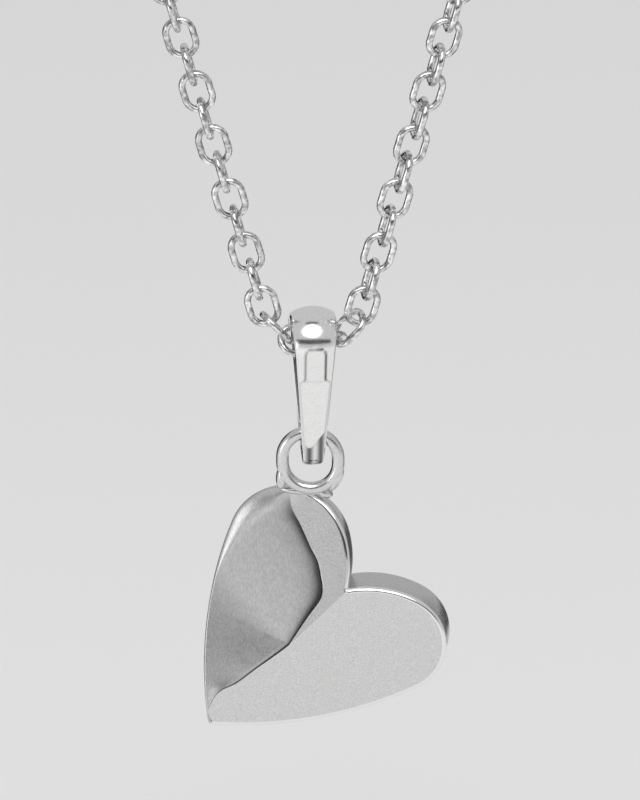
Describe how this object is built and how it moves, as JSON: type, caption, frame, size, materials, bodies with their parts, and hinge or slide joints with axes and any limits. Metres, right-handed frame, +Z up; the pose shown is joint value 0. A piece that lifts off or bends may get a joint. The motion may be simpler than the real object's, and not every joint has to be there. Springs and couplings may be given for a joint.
{
  "type": "heart pendant on chain",
  "caption": "Thick asymmetric heart pendant, half plain and half scooped, hung from a soldered ring and tapered bail on a fine oval-link cable chain closed at the back.",
  "frame": {"origin": "middle of the hollow that the neck goes in, at the centre of the loop's round top", "axes": "+Z up, from the pendant towards the clasp; +Y towards the wearer's back, so the front faces -Y"},
  "size_m": [0.0796, 0.004, 0.1967],
  "materials": {
    "silver": "polished white metal with a faint satin grain"
  },
  "bodies": {
    "necklace": {"chain": "silver", "clasp": "silver"},
    "bail": {"bail": "silver"},
    "heart": {"heart": "silver"}
  },
  "joints": [
    {"name": "bail_swing", "type": "hinge", "parent": "necklace", "child": "bail", "pos_m": [0, 0, -0.13521], "axis": [0.9945, 0.1045, 0], "range_deg": [-80, 80]},
    {"name": "heart_swing", "type": "hinge", "parent": "bail", "child": "heart", "pos_m": [-0.00012, 0, -0.14085], "axis": [0.9976, -0.0698, 0], "range_deg": [-70, 70]}
  ]
}
